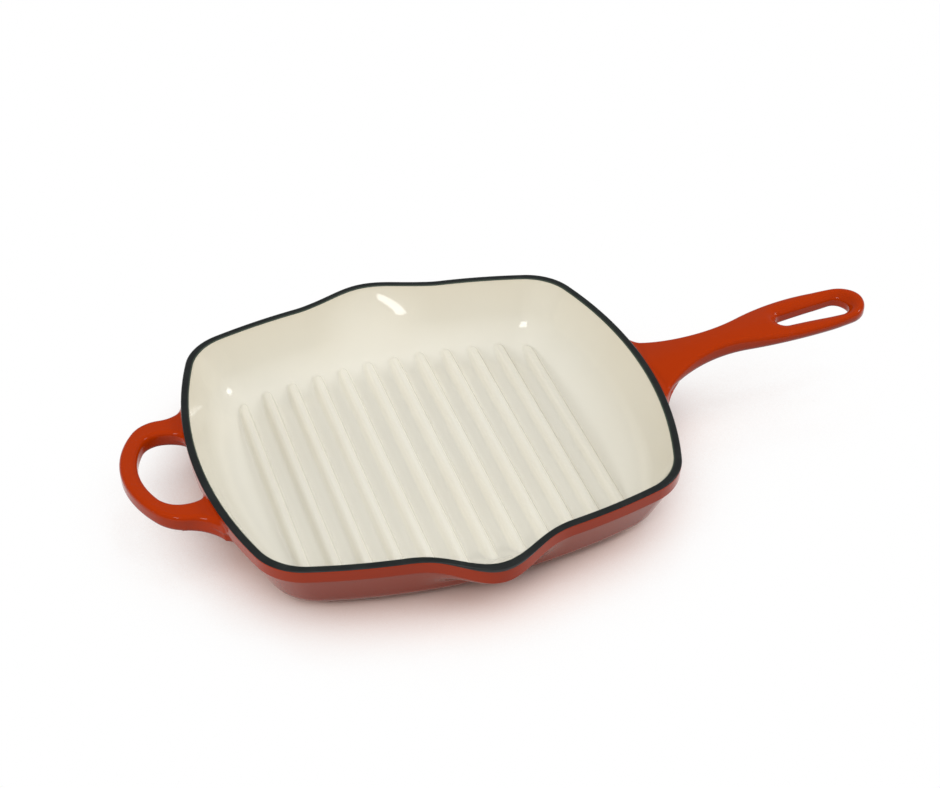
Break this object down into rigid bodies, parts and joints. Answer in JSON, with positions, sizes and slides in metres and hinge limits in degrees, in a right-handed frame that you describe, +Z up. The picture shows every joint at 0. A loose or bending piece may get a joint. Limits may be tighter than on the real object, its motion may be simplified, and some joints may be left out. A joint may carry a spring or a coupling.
{
  "type": "grill pan",
  "caption": "Square enamelled cast iron grill pan with ridged floor, two pouring lips, long handle with hang slot and loop helper handle.",
  "frame": {"origin": "on the underside, at the middle of the basin", "axes": "+Z up, +X along the long handle, ridges along Y, pouring lips at +Y and -Y"},
  "size_m": [0.4303, 0.258, 0.0534],
  "materials": {
    "cast_iron": "rough cast, under the coats",
    "black_ground_coat": "satin black enamel",
    "orange_enamel": "glossy enamel",
    "cream_enamel": "glossy enamel"
  },
  "bodies": {
    "root": {"basin_casting": "cast_iron", "long_handle_casting": "cast_iron", "helper_handle_casting": "cast_iron", "rim_ground_coat": "black_ground_coat", "outer_wall_enamel": "orange_enamel", "base_enamel": "orange_enamel", "long_handle_enamel": "orange_enamel", "helper_handle_enamel": "orange_enamel", "interior_enamel": "cream_enamel"}
  },
  "joints": []
}
